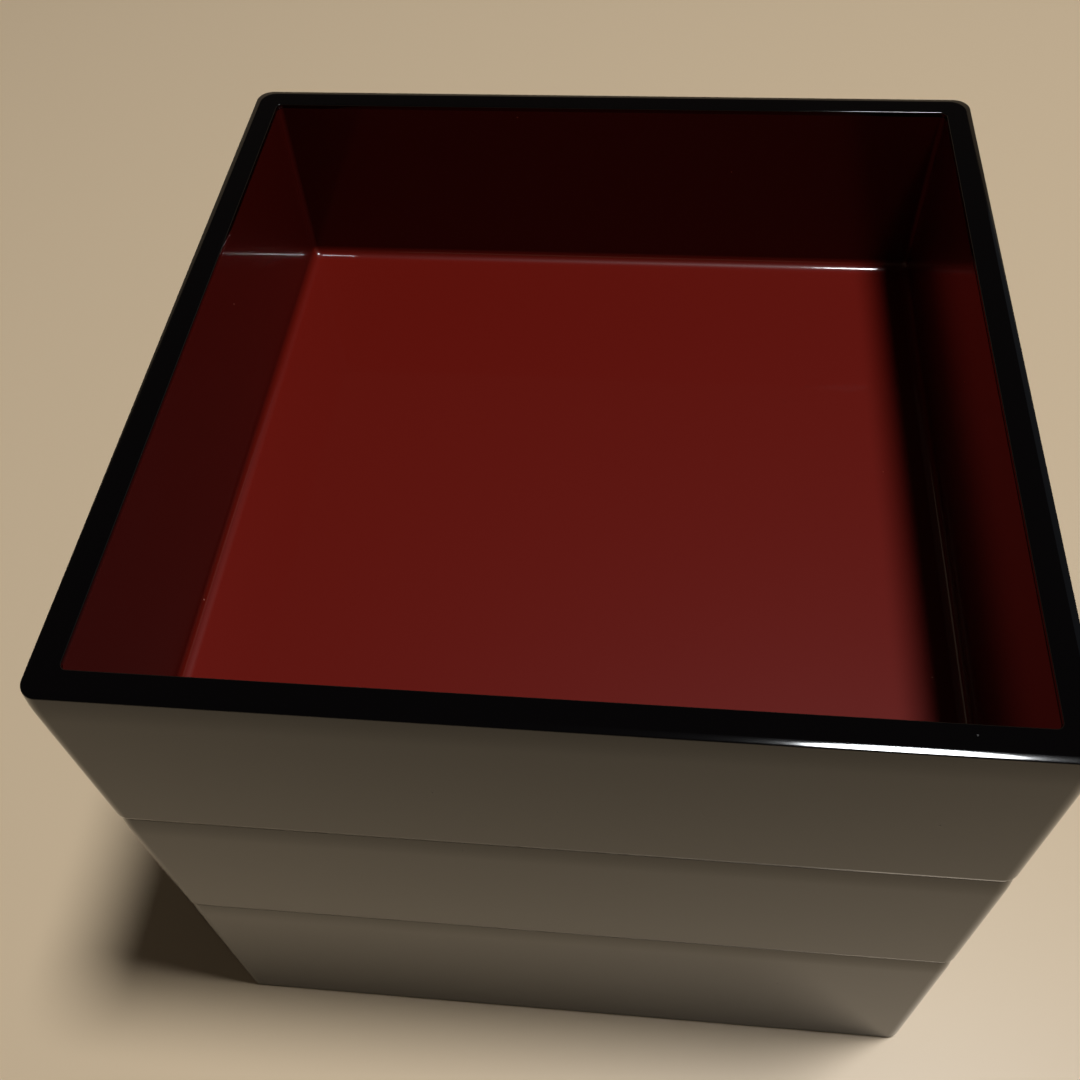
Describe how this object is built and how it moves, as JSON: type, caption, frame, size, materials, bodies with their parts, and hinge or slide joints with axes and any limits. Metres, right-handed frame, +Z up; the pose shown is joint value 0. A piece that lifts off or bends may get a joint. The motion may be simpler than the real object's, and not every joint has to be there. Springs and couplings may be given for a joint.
{
  "type": "stacking lunch box",
  "caption": "Square stacking lunch box of lacquered wooden trays, black outside and vermilion inside, deeper at the bottom, open on top.",
  "frame": {"origin": "bottom centre of the stack, on the surface it stands on", "axes": "+Z up out of the open top tray, -Y towards the front face, +X to the right of someone facing it"},
  "size_m": [0.195, 0.195, 0.1795],
  "materials": {
    "black_lacquered_board": "polished black lacquer over wood, red lacquer on the inner face",
    "black_lacquered_strip": "polished black lacquer over wood",
    "vermilion_lacquered_board": "polished vermilion lacquer over thin board, black underneath",
    "vermilion_lacquered_filler": "wood-flour and lacquer filler under polished vermilion lacquer",
    "bare_hinoki": "bare planed wood, buried under the lacquer"
  },
  "bodies": {
    "bottom_tray": {"bottom_front_board": "black_lacquered_board", "bottom_back_board": "black_lacquered_board", "bottom_left_board": "black_lacquered_board", "bottom_right_board": "black_lacquered_board", "bottom_base_board": "vermilion_lacquered_board", "bottom_cove_filler": "vermilion_lacquered_filler", "bottom_corner_keys": "bare_hinoki"},
    "middle_tray": {"middle_front_board": "black_lacquered_board", "middle_front_locating_strip": "black_lacquered_strip", "middle_back_board": "black_lacquered_board", "middle_back_locating_strip": "black_lacquered_strip", "middle_left_board": "black_lacquered_board", "middle_left_locating_strip": "black_lacquered_strip", "middle_right_board": "black_lacquered_board", "middle_right_locating_strip": "black_lacquered_strip", "middle_base_board": "vermilion_lacquered_board", "middle_cove_filler": "vermilion_lacquered_filler", "middle_corner_keys": "bare_hinoki"},
    "top_tray": {"top_front_board": "black_lacquered_board", "top_front_locating_strip": "black_lacquered_strip", "top_back_board": "black_lacquered_board", "top_back_locating_strip": "black_lacquered_strip", "top_left_board": "black_lacquered_board", "top_left_locating_strip": "black_lacquered_strip", "top_right_board": "black_lacquered_board", "top_right_locating_strip": "black_lacquered_strip", "top_base_board": "vermilion_lacquered_board", "top_cove_filler": "vermilion_lacquered_filler", "top_corner_keys": "bare_hinoki"}
  },
  "joints": [
    {"name": "middle_tray_lift", "type": "slide", "parent": "bottom_tray", "child": "middle_tray", "axis": [0, 0, 1], "range_m": [0, 0.1]},
    {"name": "top_tray_lift", "type": "slide", "parent": "middle_tray", "child": "top_tray", "axis": [0, 0, 1], "range_m": [0, 0.1]}
  ]
}
